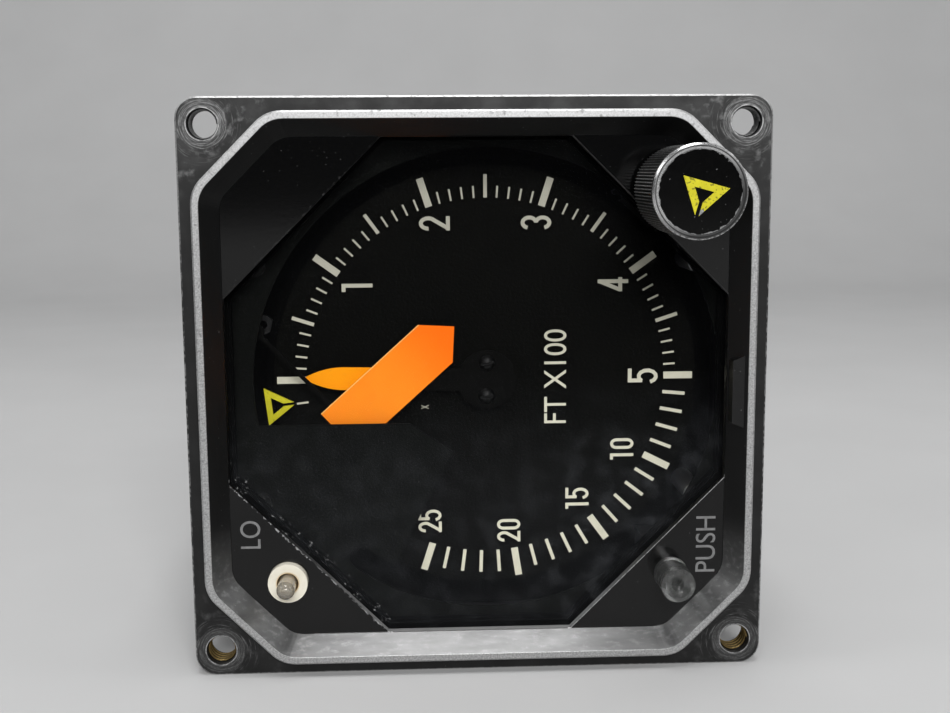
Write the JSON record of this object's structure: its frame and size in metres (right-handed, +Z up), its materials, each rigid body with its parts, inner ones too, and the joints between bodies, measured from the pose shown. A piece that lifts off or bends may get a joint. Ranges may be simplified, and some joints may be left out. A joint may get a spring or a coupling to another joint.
{
  "type": "radio altimeter indicator",
  "caption": "Square panel instrument with a servo pointer, warning flag, decision height index set by a knob, test button and lamp in a long eight-sided case.",
  "frame": {"origin": "centre of the panel screw pattern, on the front face of the mounting flange", "axes": "-Y out of the panel towards the viewer, +Y along the case to the rear connector, +Z up as pictured, +X to the right as seen from the front"},
  "size_m": [0.0826, 0.1514, 0.0826],
  "materials": {
    "black_paint": "worn semi-gloss black paint with bare edges",
    "glass": "clear, lightly scratched",
    "gasket": "matte black",
    "mask_black": "dull black",
    "dial_black": "dull black",
    "scale_paint": "aged cream paint",
    "signal_orange": "fluorescent orange paint",
    "index_yellow": "matte yellow paint",
    "dark_steel": "blackened",
    "steel": "satin",
    "aluminium": "satin",
    "brass": "satin",
    "knob_black": "black anodised, bright worn front edge",
    "cap_black": "semi-gloss black",
    "clear_plastic": "clear",
    "lamp_white": "off-white",
    "bulb_glass": "clear",
    "pot_blue": "dark blue",
    "switch_black": "black",
    "board_green": "green lacquer",
    "board_parts": "dark",
    "insert": "dark green"
  },
  "bodies": {
    "housing": {"bezel": "black_paint", "window_glass": "glass", "window_gasket": "gasket", "window_retainer": "mask_black", "retainer_screws": "steel", "mask_plate": "mask_black", "mask_posts": "aluminium", "mask_screws": "dark_steel", "dial": "dial_black", "dial_markings": "scale_paint", "pointer_bushings": "brass", "ring_clips": "steel", "clip_screws": "steel", "knob_bushing": "brass", "height_pot": "pot_blue", "flag_actuator": "steel", "test_switch": "switch_black", "lamp_sleeve": "lamp_white", "lamp_bulb": "bulb_glass", "lamp_holder": "brass", "front_plate": "aluminium", "back_plate": "aluminium", "plate_pillars": "steel", "movement_screws": "steel", "servo_motor": "steel", "feedback_pot": "pot_blue", "front_board": "board_green", "rear_board": "board_green", "board_standoffs": "aluminium", "board_parts": "board_parts", "case": "black_paint", "case_screws": "steel", "rear_cover": "black_paint", "cover_screws": "steel", "connector_shell": "aluminium", "connector_insert": "insert", "connector_pins": "brass", "connector_screws": "steel"},
    "pointer": {"pointer": "signal_orange", "pointer_hub": "dark_steel", "pointer_screws": "dark_steel", "pointer_shaft": "steel", "pointer_gear": "brass"},
    "height_index": {"bug_ring": "aluminium", "height_bug": "index_yellow"},
    "knob": {"knob": "knob_black", "knob_cap": "cap_black", "knob_mark": "index_yellow", "knob_set_screw": "steel", "knob_shaft": "steel", "knob_pinion": "brass"},
    "warning_flag": {"warning_flag": "signal_orange", "flag_spindle": "steel"},
    "test_button": {"test_button": "clear_plastic"},
    "motor_pinion": {"motor_pinion": "brass"},
    "feedback_gear": {"feedback_gear": "brass"}
  },
  "joints": [
    {"name": "pointer_turn", "type": "hinge", "parent": "housing", "child": "pointer", "pos_m": [0.0017, 0, 0], "axis": [0, 1, 0], "range_deg": [-9, 324]},
    {"name": "motor_turn", "type": "hinge", "parent": "housing", "child": "motor_pinion", "pos_m": [-0.01612, 0, -0.01782], "axis": [0, 1, 0], "range_deg": [-1190, 35]},
    {"name": "feedback_turn", "type": "hinge", "parent": "housing", "child": "feedback_gear", "pos_m": [-0.0193, 0, 0.021], "axis": [0, 1, 0], "range_deg": [-650, 20]},
    {"name": "index_turn", "type": "hinge", "parent": "housing", "child": "height_index", "pos_m": [0.0017, 0, 0], "axis": [0, 1, 0], "range_deg": [0, 294]},
    {"name": "knob_turn", "type": "hinge", "parent": "housing", "child": "knob", "pos_m": [0.02779, 0, 0.02818], "axis": [0, 1, 0], "range_deg": [-1590, 1]},
    {"name": "flag_swing", "type": "hinge", "parent": "housing", "child": "warning_flag", "pos_m": [-0.03225, 0, 0.0078], "axis": [0, 1, 0], "range_deg": [0, 40], "stiffness_Nm_per_rad": 0.0002, "springref_deg": -34.38},
    {"name": "button_press", "type": "slide", "parent": "housing", "child": "test_button", "axis": [0, 1, 0], "range_m": [0, 0.0012], "stiffness_N_per_m": 100, "springref_m": -0.002}
  ],
  "couplings": [
    {"joint": "motor_turn", "follows": "pointer_turn", "ratio": -3.6667},
    {"joint": "feedback_turn", "follows": "pointer_turn", "ratio": -2},
    {"joint": "knob_turn", "follows": "index_turn", "ratio": -5.4}
  ]
}
